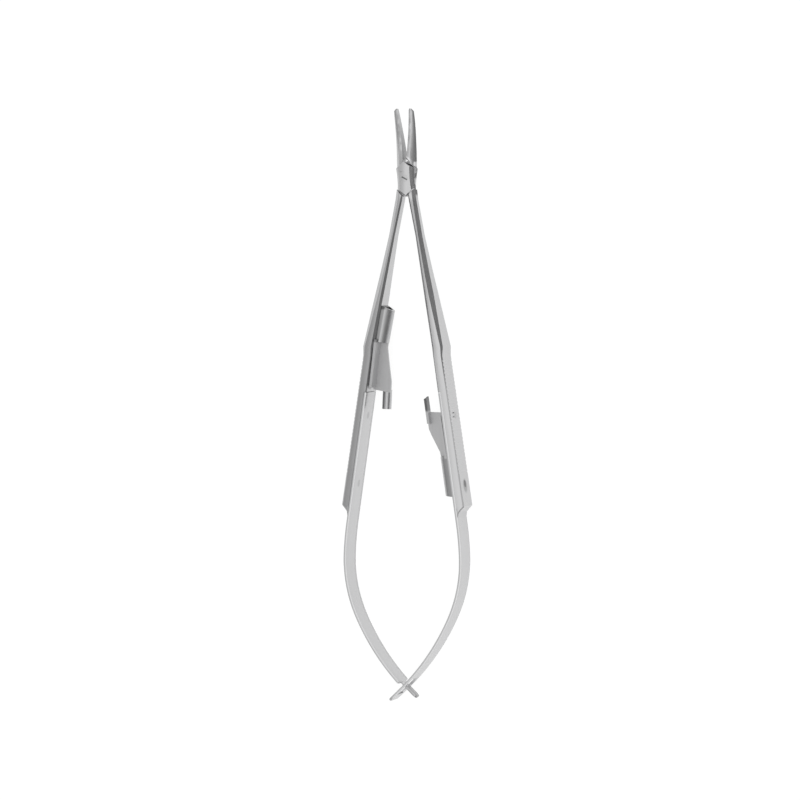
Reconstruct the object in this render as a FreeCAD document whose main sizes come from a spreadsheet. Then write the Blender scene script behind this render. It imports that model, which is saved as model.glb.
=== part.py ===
import FreeCAD, Part
import math
import os
import re
import Sketcher

# Spring-leaf surgical needle holder, lying flat as it rests on a table.
# +Y runs from the handle to the jaws, +Z is up, Z = 0 is the table, X = 0 is the line of symmetry.
# Each half is drawn shut, about the pivot axis, then turned out by half the opening.
# Lengths are in millimetres and angles in degrees.

os.makedirs("parts", exist_ok=True)
Vector = FreeCAD.Vector
doc = FreeCAD.newDocument("NeedleHolder")

SIZES = [
    # where the drawing stands in the shared frame
    ("pivot_ahead", 53.3, "pivot in front of the middle of the whole"),
    ("mid_height", 4.1, "height of the middle of the depth over the table"),
    ("half_opening", 4.8, "angle each half is turned out from shut"),
    # lap joint
    ("lap_reach", 4.6, "pivot to the point of each shoulder"),
    ("lap_slope", 42, "slope of the shoulder lines"),
    ("lap_half_width", 1.98, "half width at the ends of the lap"),
    ("lap_waist", 1.84, "half width beside the pivot"),
    ("lap_half_depth", 2.2, "half the depth of both layers together"),
    ("lap_bevel", 0.55, "bevel along the outer edges of a layer"),
    ("shoulder_bevel", 0.4, "bevel along the shoulders"),
    ("lap_gap", 0.04, "gap between the two layers"),
    ("shoulder_gap", 0.22, "gap at the shoulders when shut"),
    # pivot screw
    ("pivot_radius", 0.9, "screw shaft"),
    ("pivot_play", 0.03, "running clearance on the shaft"),
    ("head_radius", 1.3, "screw head"),
    ("head_height", 0.8, "screw head"),
    ("slot_width", 0.4, "driver slot"),
    ("slot_depth", 0.35, "driver slot"),
    # jaws
    ("face_gap", 0.02, "gripping face to the line of symmetry when shut"),
    ("curve_start", 3.0, "pivot to the start of the upward curve"),
    ("curve_radius", 34.0, "radius of the upward curve"),
    ("jaw_flat", 0.45, "share of the jaw width that is flat on top"),
    # grips
    ("grip_inner_slope", 3.27, "inner face to the line of symmetry when shut"),
    ("grip_outer_slope", 3.74, "outer face to the line of symmetry when shut"),
    ("grip_half_depth", 4.1, "half the depth of the grips"),
    ("grip_inner_bevel", 0.22, "bevel on the inner long edges of the grips"),
    ("grip_outer_bevel", 0.3, "bevel on the outer long edges of the grips"),
    ("crown_radius", 5.2, "crown of the upper faces of shanks and grips"),
    ("grip_front", 42.3, "pivot to the front of the straight grip"),
    ("grip_front_outer", 6.17, "outer face at the front of the grip"),
    ("heel", 78.1, "pivot to the rear corner of the grip"),
    ("heel_bevel_back", 78.8, "end of the corner bevel"),
    ("heel_bevel_drop", 0.78, "how far the bevel comes in"),
    ("heel_hollow_back", 79.5, "middle of the hollow run-out"),
    ("heel_hollow_left", 0.33, "metal left over the leaf there"),
    ("heel_end", 80.5, "end of the run-out"),
    ("heel_end_left", 0.06, "metal left over the leaf at the end"),
    # cross grooves on the grips
    ("groove_first", 43.6, "pivot to the first groove"),
    ("groove_pitch", 0.95, "groove to groove"),
    ("groove_count", 29, "number of grooves"),
    ("groove_depth", 0.13, "depth of a groove"),
    ("groove_half_width", 0.27, "half width of a groove"),
    # leaf springs
    ("leaf_thick", 0.6, "leaf thickness"),
    ("leaf_half_depth", 4.0, "half the depth of the leaf"),
    ("leaf_tail_half", 3.4, "half the depth near the tail"),
    ("leaf_start", 51.0, "pivot to the front end of the leaf"),
    ("leaf_run", 31.4, "straight part, let into the grip"),
    ("trim_margin", 1.0, "how far cuts run past the metal"),
    ("leaf_seat_gap", 0.1, "end gap between leaf and recess"),
    ("bow_radius", 71.0, "first bend of the leaf"),
    ("bow_turn", 6.0, "turn of the first bend"),
    ("bend_radius", 33.0, "main bend"),
    ("bend_turn", 26.0, "turn of the main bend"),
    ("sweep_radius", 55.0, "long bend towards the tail"),
    ("sweep_turn", 22.0, "turn of the long bend"),
    ("taper_lead", 0.5, "leaf starts to narrow this far in front of the grip's end"),
    ("taper_left", 5.2, "length behind the taper, at tail depth"),
    ("tongue_shoulder", 4.1, "end of the full depth in front of the tip"),
    ("tongue_length", 3.5, "length of the tongue"),
    ("tongue_half", 1.4, "half the depth of the tongue"),
    ("tongue_tail", 2.8, "straight tail of the tongue leaf"),
    ("tongue_round", 0.9, "rounding of the tongue tip"),
    ("slot_length", 3.5, "length of the slot"),
    ("slot_bar", 1.35, "bar left behind the slot"),
    ("slot_half", 1.65, "half the depth of the slot"),
    ("slot_tail", 3.8, "straight tail of the slotted leaf"),
    ("slot_round", 1.4, "rounding of the slotted tip"),
    # rivets
    ("rivet_radius", 0.85, "leaf rivets"),
    ("rivet_front", 56.6, "pivot to the front leaf rivets"),
    ("rivet_rear", 72.9, "pivot to the rear leaf rivets"),
    ("rivet_head_radius", 1.3, "rivet heads inside the catch roots"),
    ("rivet_head_height", 0.5, "rivet heads inside the catch roots"),
    ("rivet_play", 0.03, "running clearance of the spring catch"),
    ("rivet_reach", 5.0, "length of the drill through leaf and grip"),
    ("rivet_sink", 0.03, "rivet ends under the outer face"),
    ("pin_reach", 4.0, "length of the drill through the flare"),
    ("pin_depth", 1.9, "spring catch rivet inside the flare"),
    # catches
    ("sheet_thick", 0.6, "thickness of the catch pieces"),
    ("root_radius", 2.6, "outer radius of the rounded roots"),
    ("tab_round", 0.5, "rounding at the end of the tabs"),
    ("strip_slope", 5.71, "flare's inner face to the line of symmetry when shut"),
    ("plate_top", 0.2, "upper face of the plates over mid-depth"),
    ("foot_top", 4.0, "upper edge of the upright strip over mid-depth"),
    ("spring_fold", 38.6, "pivot to the rear of the spring catch root"),
    ("spring_root", 8.3, "length of the spring catch root"),
    ("spring_slant", 1.2, "how far its front end leans back"),
    ("spring_pin", 5.5, "rivet in front of the fold"),
    ("spring_gap", 0.04, "spring catch to the face it lies on"),
    ("spring_lean", 0.85, "how far the strip stands off its root line at the end"),
    ("fixed_fold", 66.2, "pivot to the front of the fixed catch root"),
    ("fixed_root", 9.5, "length of the fixed catch root"),
    ("fixed_slant", 0.8, "how far its rear end leans back"),
    ("fixed_lean", 0.1, "how far its strip stands off the leaf at the end"),
]

# distance behind the pivot, inner face, outer face, half depth, inner bevel, outer bevel
SHANK = [
    ("joint", 1.5, 0.15, 1.95, 1.6, 0.3, 0.6),
    ("neck", 5.0, 0.38, 2.12, 1.6, 0.35, 0.75),
    ("thin", 13.75, 1.42, 2.94, 1.9, 0.4, 0.8),
    ("middle", 22.4, 2.2, 4.09, 2.62, 0.5, 0.95),
    ("swell", 28.0, 2.7, 4.89, 3.1, 0.55, 1.0),
    ("flare", 40.3, 3.93, 6.42, 4.1, 0.4, 0.5),
]

# distance in front of the pivot, width, half depth
JAW = [
    ("heart", 1.5, 2.18, 2.2),
    ("cheek", 5.2, 1.93, 1.95),
    ("blade", 8.9, 1.66, 1.4),
    ("point", 12.6, 1.4, 0.95),
    ("nose", 15.9, 1.15, 0.6),
]
JAW_TIP = [
    ("nose", 15.9, 1.15, 0.6),
    ("tip", 16.4, 0.75, 0.3),
]

# reach from the inner face at each distance behind the fold, then the tab
SPRING_PLATE = [
    ("fold", 0.0, 2.45),
    ("start", 1.3, 2.5),
    ("rise", 3.9, 3.25),
    ("swell", 6.2, 3.95),
    ("full", 9.1, 4.87),
    ("end", 11.7, 5.2),
]
FIXED_PLATE = [
    ("fold", 0.0, 2.4),
    ("start", 1.4, 2.55),
    ("rise", 2.8, 3.05),
    ("swell", 5.7, 4.1),
    ("full", 7.1, 4.5),
    ("end", 10.5, 4.5),
]
TABS = [
    ("spring_tab_middle", 3.95, "middle of the rolled tab, from the face"),
    ("spring_tab_radius", 1.02, "outer radius of the roll"),
    ("spring_tab_skirt", 0.7, "straight edges under the roll"),
    ("spring_tab_start", 11.2, "start of the rolled tab behind the fold"),
    ("spring_tab_length", 4.6, "length of the rolled tab"),
    ("spring_tab_turn", 8.0, "turn of the tab towards the line of symmetry"),
    ("fixed_tab_from", 3.65, "inner edge of the fixed catch tab"),
    ("fixed_tab_to", 4.25, "free edge of the fixed catch tab"),
    ("fixed_tab_end", 14.8, "end of the fixed catch tab in front of the fold"),
    ("fixed_lip_start", 8.4, "rear of the turned-up lip"),
    ("fixed_lip_edge", 2.0, "upper edge of the lip"),
]


def fill_sheet():
    """Every size stands in the sheet under a word of its own."""
    rows = list(SIZES)
    for name, back, inner, outer, half, inner_bevel, outer_bevel in SHANK:
        rows.append((name + "_back", back, name + " section behind the pivot"))
        rows.append((name + "_inner", inner, name + " section, inner face"))
        rows.append((name + "_outer", outer, name + " section, outer face"))
        rows.append((name + "_half", half, name + " section, half depth"))
        rows.append((name + "_inner_bevel", inner_bevel, name + " section, inner bevel"))
        rows.append((name + "_outer_bevel", outer_bevel, name + " section, outer bevel"))
    for name, ahead, width, half in JAW + JAW_TIP[1:]:
        rows.append((name + "_ahead", ahead, name + " section in front of the pivot"))
        rows.append((name + "_width", width, name + " section, width"))
        rows.append((name + "_depth", half, name + " section, half depth"))
    for kind, plate in (("spring", SPRING_PLATE), ("fixed", FIXED_PLATE)):
        for name, along, reach in plate:
            rows.append((kind + "_" + name + "_along", along, kind + " catch plate, from the fold"))
            rows.append((kind + "_" + name + "_reach", reach, kind + " catch plate, reach"))
    rows.extend(TABS)
    sheet = doc.addObject("Spreadsheet::Sheet", "Sizes")
    for row, (alias, number, meaning) in enumerate(rows, 1):
        sheet.set("A%d" % row, meaning)
        sheet.set("B%d" % row, str(number))
        sheet.setAlias("B%d" % row, alias)
    doc.recompute()
    return sheet, {alias for alias, number, meaning in rows}


sheet, words = fill_sheet()


def bound(text):
    """The expression with every word of the sheet addressed to the sheet."""
    return re.sub("[a-z_]+", lambda m: "Sizes." + m.group(0) if m.group(0) in words else m.group(0), text)


def value(text):
    """The number that an expression comes to."""
    return float(sheet.evalExpression(bound(text)))


def flip(side, text):
    """The expression on the right side (1) or mirrored to the left (-1)."""
    return "(%s)" % text if side > 0 else "-(%s)" % text


def plane_sketch(body, name, role, offset=0.0):
    """A sketch on one of the body's own origin planes, moved along its normal."""
    plane = [item for item in body.Origin.OriginFeatures if item.Role == role][0]
    sketch = body.newObject("Sketcher::SketchObject", name)
    sketch.AttachmentSupport = [(plane, "")]
    sketch.MapMode = "FlatFace"
    if isinstance(offset, str):
        sketch.setExpression("AttachmentOffset.Base.z", bound(offset))
    else:
        sketch.AttachmentOffset = FreeCAD.Placement(Vector(0, 0, offset), FreeCAD.Rotation())
    return sketch


def arc_between(start, end, radius, left):
    """The short arc from start to end whose bulge lies to the left or right of the way there."""
    chord = end - start
    middle = (start + end) * 0.5
    normal = Vector(-chord.y, chord.x, 0).normalize()
    sign = 1 if left else -1
    rise = math.sqrt(max(radius ** 2 - (chord.Length / 2) ** 2, 0))
    crown = middle + normal * sign * (radius - rise)
    return Part.Arc(start, crown, end)


def trace(sketch, points):
    """A closed outline. A point is (x, y) or (x, y, radius, left) where an arc leads on from it."""
    places = [Vector(value(point[0]), value(point[1]), 0) for point in points]
    edges = []
    ends = []
    for index, point in enumerate(points):
        start = places[index]
        end = places[(index + 1) % len(points)]
        if len(point) == 2:
            edges.append(sketch.addGeometry(Part.LineSegment(start, end), False))
            ends.append((1, 2))
        else:
            arc = arc_between(start, end, value(point[2]), point[3])
            edges.append(sketch.addGeometry(arc, False))
            first = sketch.getPoint(edges[-1], 1)
            ends.append((1, 2) if (first - start).Length < (first - end).Length else (2, 1))
    count = len(edges)
    for index in range(count):
        following = (index + 1) % count
        sketch.addConstraint(Sketcher.Constraint(
            "Coincident", edges[index], ends[index][1], edges[following], ends[following][0]))
    for index, point in enumerate(points):
        for kind, text, number in (
                ("DistanceX", point[0], places[index].x), ("DistanceY", point[1], places[index].y)):
            place = sketch.addConstraint(
                Sketcher.Constraint(kind, -1, 1, edges[index], ends[index][0], number))
            sketch.setExpression("Constraints[%d]" % place, bound(text))
        if len(point) > 2:
            place = sketch.addConstraint(Sketcher.Constraint("Radius", edges[index], value(point[2])))
            sketch.setExpression("Constraints[%d]" % place, bound(point[2]))


def pad(body, sketch, name, length, both=False, back=False):
    """Metal of the given length over a sketch."""
    feature = body.newObject("PartDesign::Pad", name)
    feature.Profile = sketch
    feature.Midplane = both
    feature.Reversed = back
    feature.setExpression("Length", bound(length))
    return feature


def pocket(body, sketch, name, length, both=False, back=False):
    """A cut of the given length from a sketch; it has to take metal away."""
    before = body.Shape.Volume
    feature = body.newObject("PartDesign::Pocket", name)
    feature.Profile = sketch
    feature.Midplane = both
    feature.Reversed = back
    feature.setExpression("Length", bound(length))
    doc.recompute()
    if not feature.Shape.Volume < before:
        raise RuntimeError("%s takes nothing away %s" % (name, feature.State))
    return feature


def loft(body, name, sections, straight):
    """Metal through a row of sections."""
    feature = body.newObject("PartDesign::AdditiveLoft", name)
    feature.Profile = sections[0]
    feature.Sections = sections[1:]
    feature.Ruled = straight
    return feature


def bore(body, name, base, direction, radius, depth):
    """A round hole from a point along a direction."""
    doc.recompute()
    before = body.Shape.Volume
    hole = body.newObject("PartDesign::SubtractiveCylinder", name)
    hole.Placement = FreeCAD.Placement(base, FreeCAD.Rotation(Vector(0, 0, 1), direction))
    hole.setExpression("Radius", bound(radius))
    hole.setExpression("Height", bound(depth))
    doc.recompute()
    if not body.Shape.Volume < before:
        raise RuntimeError(name + " takes nothing away")
    return hole


def new_body(name, placement):
    """A body that stands at its place in the shared frame."""
    body = doc.addObject("PartDesign::Body", name)
    body.Label = name
    body.Placement = placement
    return body


def half_placement(side):
    """Where the right half (1) or the left half (-1) lies at rest."""
    return FreeCAD.Placement(
        Vector(0, value("pivot_ahead"), value("mid_height")),
        FreeCAD.Rotation(Vector(0, 0, 1), side * value("half_opening")))


# Lines of the grip when shut, as expressions of the distance behind the pivot.

def inner_line(back):
    return "flare_inner + (%s - flare_back) * tan(grip_inner_slope * 1 deg)" % back


def floor_line(back):
    return inner_line(back) + " + leaf_thick / cos(grip_inner_slope * 1 deg)"


def outer_line(back):
    return "grip_front_outer + (%s - grip_front) * tan(grip_outer_slope * 1 deg)" % back


def jaw_rise(name):
    run = "(%s_ahead - curve_start)" % name
    return "curve_radius - sqrt(curve_radius ^ 2 - %s ^ 2)" % run


def bevelled_section(body, name, side, back, inner, outer, half, inner_bevel, outer_bevel):
    """A rectangle with bevelled corners across the shank; its upper face falls outwards in a crown."""
    sketch = plane_sketch(body, name, "XZ_Plane", back)
    width = "((%s - %s) - (%s + %s))" % (outer, outer_bevel, inner, inner_bevel)
    drop = "(crown_radius - sqrt(crown_radius ^ 2 - %s ^ 2))" % width
    rings = [
        ("%s + %s" % (inner, inner_bevel), half, "crown_radius"),
        ("%s - %s" % (outer, outer_bevel), "%s - %s" % (half, drop)),
        (outer, "%s - %s - %s" % (half, drop, outer_bevel)),
        (outer, "%s - %s" % (outer_bevel, half)),
        ("%s - %s" % (outer, outer_bevel), "-" + half),
        ("%s + %s" % (inner, inner_bevel), "-" + half),
        (inner, "%s - %s" % (inner_bevel, half)),
        (inner, "%s - %s" % (half, inner_bevel)),
    ]
    outline = []
    for ring in rings:
        corner = (flip(side, ring[0]), ring[1])
        if len(ring) > 2:
            corner = corner + (ring[2], side > 0)
        outline.append(corner)
    trace(sketch, outline)
    return sketch


def jaw_section(body, side, name):
    """Flat gripping face, flat top and bottom, rounded back."""
    sketch = plane_sketch(body, "Jaw_" + name, "XZ_Plane", "-%s_ahead" % name)
    rise = "(%s)" % jaw_rise(name)
    width = name + "_width"
    depth = name + "_depth"
    bulge = "(%s * (1 - jaw_flat))" % width
    radius = "(%s ^ 2 + %s ^ 2) / (2 * %s)" % (depth, bulge, bulge)
    trace(sketch, [
        (flip(side, "face_gap"), "%s + %s" % (rise, depth)),
        (flip(side, "%s * jaw_flat" % width), "%s + %s" % (rise, depth), radius, side > 0),
        (flip(side, "%s * jaw_flat" % width), "%s - %s" % (rise, depth)),
        (flip(side, "face_gap"), "%s - %s" % (rise, depth)),
    ])
    return sketch


def lap_outline(sketch, gap, half_width, waist):
    """The hexagon of the lap joint, its shoulders drawn back by a gap, its sides hollow."""
    reach = "(lap_reach - (%s) / cos(lap_slope * 1 deg))" % gap
    corner = "(%s - (%s) * tan(lap_slope * 1 deg))" % (reach, half_width)
    hollow = "(%s ^ 2 + (%s - (%s)) ^ 2) / (2 * (%s - (%s)))" % (corner, half_width, waist, half_width, waist)
    trace(sketch, [
        ("0", reach),
        (half_width, corner, hollow, False),
        (half_width, "-" + corner),
        ("0", "-" + reach),
        ("-(%s)" % half_width, "-" + corner, hollow, False),
        ("-(%s)" % half_width, corner),
    ])


def room_outline(sketch, extra):
    """The hexagon that the other half's layer lies in, wider by the given amount."""
    reach = "(lap_reach + %s / cos(lap_slope * 1 deg))" % extra
    edge = "(lap_half_width + trim_margin)"
    corner = "(%s - %s * tan(lap_slope * 1 deg))" % (reach, edge)
    trace(sketch, [
        ("0", reach), (edge, corner), (edge, "-" + corner),
        ("0", "-" + reach), ("-" + edge, "-" + corner), ("-" + edge, corner),
    ])


def make_half(name, side, layer):
    """One half: jaw, lap layer, shank and grip. The shank lies on the given side, the jaw across."""
    body = new_body(name, half_placement(side))
    up = layer > 0

    # lap layer
    sketch = plane_sketch(body, "LapPlan", "XY_Plane", flip(layer, "lap_gap / 2"))
    lap_outline(sketch, "shoulder_gap", "lap_half_width", "lap_waist")
    pad(body, sketch, "Lap", "lap_half_depth - lap_bevel - lap_gap / 2", back=not up)
    wide = plane_sketch(body, "LapWide", "XY_Plane", flip(layer, "lap_half_depth - lap_bevel"))
    lap_outline(wide, "shoulder_gap", "lap_half_width", "lap_waist")
    narrow = plane_sketch(body, "LapNarrow", "XY_Plane", flip(layer, "lap_half_depth"))
    lap_outline(narrow, "shoulder_gap + shoulder_bevel / 2", "lap_half_width - lap_bevel", "lap_waist - lap_bevel")
    loft(body, "LapTop", [wide, narrow], True)

    # jaw, curved upwards
    sections = [jaw_section(body, -side, row[0]) for row in JAW]
    loft(body, "Jaw", sections, False)
    sections = [jaw_section(body, -side, row[0]) for row in JAW_TIP]
    loft(body, "JawTip", sections, True)

    # shank and grip
    sections = []
    for row in SHANK:
        word = row[0]
        sections.append(bevelled_section(
            body, "Shank_" + word, side, word + "_back", word + "_inner",
            word + "_outer", word + "_half", word + "_inner_bevel", word + "_outer_bevel"))
    floor = floor_line("heel_bevel_back")
    rows = [
        ("GripFront", "grip_front", outer_line("grip_front")),
        ("Heel", "heel", outer_line("heel")),
        ("HeelBevel", "heel_bevel_back", outer_line("heel") + " - heel_bevel_drop"),
        ("HeelHollow", "heel_hollow_back", floor_line("heel_hollow_back") + " + heel_hollow_left"),
        ("HeelEnd", "heel_end", floor_line("heel_end") + " + heel_end_left"),
    ]
    for word, back, outer in rows:
        sections.append(bevelled_section(
            body, word, side, back, inner_line(back), outer, "grip_half_depth",
            "grip_inner_bevel", "grip_outer_bevel"))
    loft(body, "Shank", sections, True)
    doc.recompute()

    # room for the layer of the other half
    sketch = plane_sketch(body, "RoomPlan", "XY_Plane", flip(layer, "lap_gap / 2"))
    room_outline(sketch, "0")
    pocket(body, sketch, "Room", "lap_half_depth + trim_margin", back=not up)
    wide = plane_sketch(body, "RoomWide", "XY_Plane", flip(-layer, "lap_half_depth"))
    room_outline(wide, "shoulder_bevel")
    narrow = plane_sketch(body, "RoomNarrow", "XY_Plane", flip(-layer, "lap_half_depth - shoulder_bevel"))
    room_outline(narrow, "0")
    bevel = body.newObject("PartDesign::SubtractiveLoft", "ShoulderBevel")
    bevel.Profile = wide
    bevel.Sections = [narrow]
    bevel.Ruled = True
    doc.recompute()

    # recess that the leaf lies in, flush with the inner face
    sketch = plane_sketch(body, "SeatPlan", "XY_Plane")
    front = "leaf_start - leaf_seat_gap"
    rear = "heel_end + trim_margin"
    trace(sketch, [
        (flip(side, inner_line(front) + " - trim_margin"), "-(%s)" % front),
        (flip(side, floor_line(front)), "-(%s)" % front),
        (flip(side, floor_line(rear)), "-(%s)" % rear),
        (flip(side, inner_line(rear) + " - trim_margin"), "-(%s)" % rear),
    ])
    pocket(body, sketch, "Seat", "(grip_half_depth + trim_margin) * 2", both=True)

    # cross grooves on the outer face
    sketch = plane_sketch(body, "GroovePlan", "XY_Plane")
    sketch.AttachmentOffset = FreeCAD.Placement(
        Vector(side * value(outer_line("groove_first")), -value("groove_first"), 0),
        FreeCAD.Rotation(Vector(0, 0, 1), side * value("grip_outer_slope")))
    trace(sketch, [
        (flip(-side, "groove_depth"), "0 * groove_depth"),
        (flip(side, "groove_depth / 4"), "groove_half_width * 1.25"),
        (flip(side, "groove_depth / 4"), "-groove_half_width * 1.25"),
    ])
    first = pocket(body, sketch, "Groove", "(grip_half_depth + trim_margin) * 2", both=True)
    row = body.newObject("PartDesign::LinearPattern", "Grooves")
    row.Originals = [first]
    row.Direction = (sketch, ["V_Axis"])
    row.Reversed = True
    row.setExpression("Length", bound("groove_pitch * (groove_count - 1)"))
    row.setExpression("Occurrences", bound("groove_count"))
    body.Tip = row
    doc.recompute()
    return body


def outward(side, slope):
    """Unit vector out of the inner face."""
    angle = math.radians(value(slope))
    return Vector(side * math.cos(angle), math.sin(angle), 0)


def face_point(side, back):
    """A point of the grip's inner face at mid-depth."""
    return Vector(side * value(inner_line(back)), -value(back), 0)


# Distance behind the pivot at the end of the leaf's path, for a given length of tail.
def tail_back(tail):
    first = "grip_inner_slope"
    second = "(grip_inner_slope - bow_turn)"
    third = "(grip_inner_slope - bow_turn - bend_turn)"
    last = "(grip_inner_slope - bow_turn - bend_turn - sweep_turn)"
    return (
        "leaf_start + leaf_run * cos(%s * 1 deg)" % first
        + " + bow_radius * (sin(%s * 1 deg) - sin(%s * 1 deg))" % (first, second)
        + " + bend_radius * (sin(%s * 1 deg) - sin(%s * 1 deg))" % (second, third)
        + " + sweep_radius * (sin(%s * 1 deg) - sin(%s * 1 deg))" % (third, last)
        + " + %s * cos(%s * 1 deg)" % (tail, last))


def leaf_path(body, side, tail):
    """The middle line of the leaf: straight, three bends that run into each other, straight tail."""
    sketch = plane_sketch(body, "LeafPath", "XY_Plane")
    across = inner_line("leaf_start") + " + leaf_thick / 2 / cos(grip_inner_slope * 1 deg)"
    heading = math.radians(value("grip_inner_slope"))
    place = Vector(side * value(across), -value("leaf_start"), 0)
    step = Vector(side * math.sin(heading), -math.cos(heading), 0)
    following = place + step * value("leaf_run")
    edges = [(sketch.addGeometry(Part.LineSegment(place, following), False), 1, 2)]
    for kind, text, number in (
            ("DistanceX", flip(side, across), place.x), ("DistanceY", "-leaf_start", place.y)):
        index = sketch.addConstraint(Sketcher.Constraint(kind, -1, 1, edges[0][0], 1, number))
        sketch.setExpression("Constraints[%d]" % index, bound(text))
    run = flip(side, "leaf_run * sin(grip_inner_slope * 1 deg)")
    index = sketch.addConstraint(Sketcher.Constraint("DistanceX", edges[0][0], 1, edges[0][0], 2, value(run)))
    sketch.setExpression("Constraints[%d]" % index, bound(run))
    run = "-leaf_run * cos(grip_inner_slope * 1 deg)"
    index = sketch.addConstraint(Sketcher.Constraint("DistanceY", edges[0][0], 1, edges[0][0], 2, value(run)))
    sketch.setExpression("Constraints[%d]" % index, bound(run))
    place = following
    for word in ("bow", "bend", "sweep"):
        radius = value(word + "_radius")
        turn = math.radians(value(word + "_turn"))
        stops = []
        for share in (0.5, 1.0):
            angle = heading - turn * share
            centre_x = place.x - side * radius * math.cos(heading)
            centre_y = place.y - radius * math.sin(heading)
            stops.append(Vector(
                centre_x + side * radius * math.cos(angle), centre_y + radius * math.sin(angle), 0))
        arc = sketch.addGeometry(Part.Arc(place, stops[0], stops[1]), False)
        forward = (sketch.getPoint(arc, 1) - place).Length < (sketch.getPoint(arc, 2) - place).Length
        edges.append((arc, 1, 2) if forward else (arc, 2, 1))
        index = sketch.addConstraint(Sketcher.Constraint("Radius", arc, radius))
        sketch.setExpression("Constraints[%d]" % index, bound(word + "_radius"))
        index = sketch.addConstraint(Sketcher.Constraint("Angle", arc, turn))
        sketch.setExpression("Constraints[%d]" % index, bound(word + "_turn * 1 deg"))
        heading = heading - turn
        place = stops[1]
    step = Vector(side * math.sin(heading), -math.cos(heading), 0)
    line = sketch.addGeometry(Part.LineSegment(place, place + step * value(tail)), False)
    edges.append((line, 1, 2))
    index = sketch.addConstraint(Sketcher.Constraint("Distance", line, value(tail)))
    sketch.setExpression("Constraints[%d]" % index, bound(tail))
    for earlier, later in zip(edges, edges[1:]):
        sketch.addConstraint(Sketcher.Constraint("Tangent", earlier[0], earlier[2], later[0], later[1]))
    return sketch


def make_leaf(name, side, tail, slotted):
    """A bent strip; its tail carries either a tongue or the slot that the tongue goes through."""
    body = new_body(name, half_placement(side))
    path = leaf_path(body, side, tail)
    section = plane_sketch(body, "LeafSection", "XZ_Plane", "leaf_start")
    floor = flip(side, floor_line("leaf_start"))
    face = flip(side, inner_line("leaf_start"))
    trace(section, [
        (face, "leaf_half_depth"), (floor, "leaf_half_depth"),
        (floor, "-leaf_half_depth"), (face, "-leaf_half_depth"),
    ])
    doc.recompute()
    strip = body.newObject("PartDesign::AdditivePipe", "Strip")
    strip.Profile = section
    strip.Spine = path
    doc.recompute()
    end = "(%s)" % tail_back(tail)
    start = "-(heel_end - taper_lead)"
    for sign in ("", "-"):
        sketch = plane_sketch(body, "Taper", "YZ_Plane")
        outline = [
            (start, sign + "leaf_half_depth"),
            ("-(%s - taper_left)" % end, sign + "leaf_tail_half"),
        ]
        if slotted:
            half = "leaf_tail_half"
            round_off = "slot_round"
        else:
            outline.append(("-(%s - tongue_shoulder)" % end, sign + "leaf_tail_half"))
            outline.append(("-(%s - tongue_length)" % end, sign + "tongue_half"))
            half = "tongue_half"
            round_off = "tongue_round"
        outline.append(("-(%s - %s)" % (end, round_off), sign + half, round_off, sign == "-"))
        outline.append(("-" + end, "%s(%s - %s)" % (sign, half, round_off)))
        outline.append(("-(%s + trim_margin)" % end, "%s(%s - %s)" % (sign, half, round_off)))
        outline.append(("-(%s + trim_margin)" % end, sign + "(leaf_half_depth + trim_margin)"))
        outline.append((start, sign + "(leaf_half_depth + trim_margin)"))
        trace(sketch, outline)
        pocket(body, sketch, "Narrowing", "heel * 2", both=True)
    if slotted:
        sketch = plane_sketch(body, "SlotOutline", "YZ_Plane")
        front = "-(%s - slot_bar - slot_length)" % end
        rear = "-(%s - slot_bar)" % end
        trace(sketch, [
            (front, "-slot_half", "slot_half * 2", True), (front, "slot_half"),
            (rear, "slot_half", "slot_half * 2", True), (rear, "-slot_half"),
        ])
        pocket(body, sketch, "Slot", "heel * 2", both=True)
    return body


def pierce(body, side, backs, slack="0"):
    """Rivet holes square to the inner face."""
    for back in backs:
        start = face_point(side, back) - outward(side, "grip_inner_slope")
        bore(body, "RivetHole", start, outward(side, "grip_inner_slope"), "rivet_radius + " + slack, "rivet_reach")


def make_rivet(name, side, back, headed):
    """A rivet through leaf and grip, flush outside; inside flush or with a flat head."""
    axis = FreeCAD.Rotation(Vector(0, 0, 1), outward(side, "grip_inner_slope"))
    start = face_point(side, back)
    body = new_body(name, half_placement(side))
    shaft = body.newObject("PartDesign::AdditiveCylinder", "Shaft")
    below = "(sheet_thick)" if headed else "0"
    shaft.Placement = FreeCAD.Placement(
        start - outward(side, "grip_inner_slope") * value(below), axis)
    shaft.setExpression("Radius", bound("rivet_radius"))
    shaft.setExpression("Height", bound("%s + %s" % (below, grip_thickness(back))))
    if headed:
        head = body.newObject("PartDesign::AdditiveCylinder", "Head")
        head.Placement = FreeCAD.Placement(
            start - outward(side, "grip_inner_slope") * value("sheet_thick + rivet_head_height"), axis)
        head.setExpression("Radius", bound("rivet_head_radius"))
        head.setExpression("Height", bound("rivet_head_height"))
    return body


def grip_thickness(back):
    """Metal square to the inner face, so that the rivet ends just under the outer face."""
    return "((%s) - (%s)) * cos(grip_outer_slope * 1 deg) - rivet_sink" % (outer_line(back), inner_line(back))


def catch_placement(side, slope, back, gap, turned):
    """Catch pieces are drawn with X out of the face they lie on and +Y along it towards the root."""
    if turned:
        base = face_point(side, back)
    else:
        base = Vector(side * value("%s_inner + (%s - %s_back) * tan(%s * 1 deg)" % (
            "flare", back, "flare", slope)), -value(back), 0)
    angle = value(slope) * side + (180 if turned else 0)
    local = FreeCAD.Placement(base, FreeCAD.Rotation(Vector(0, 0, 1), angle))
    drawn = FreeCAD.Placement(Vector(value(gap), 0, 0), FreeCAD.Rotation())
    return half_placement(side).multiply(local).multiply(drawn)


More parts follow.
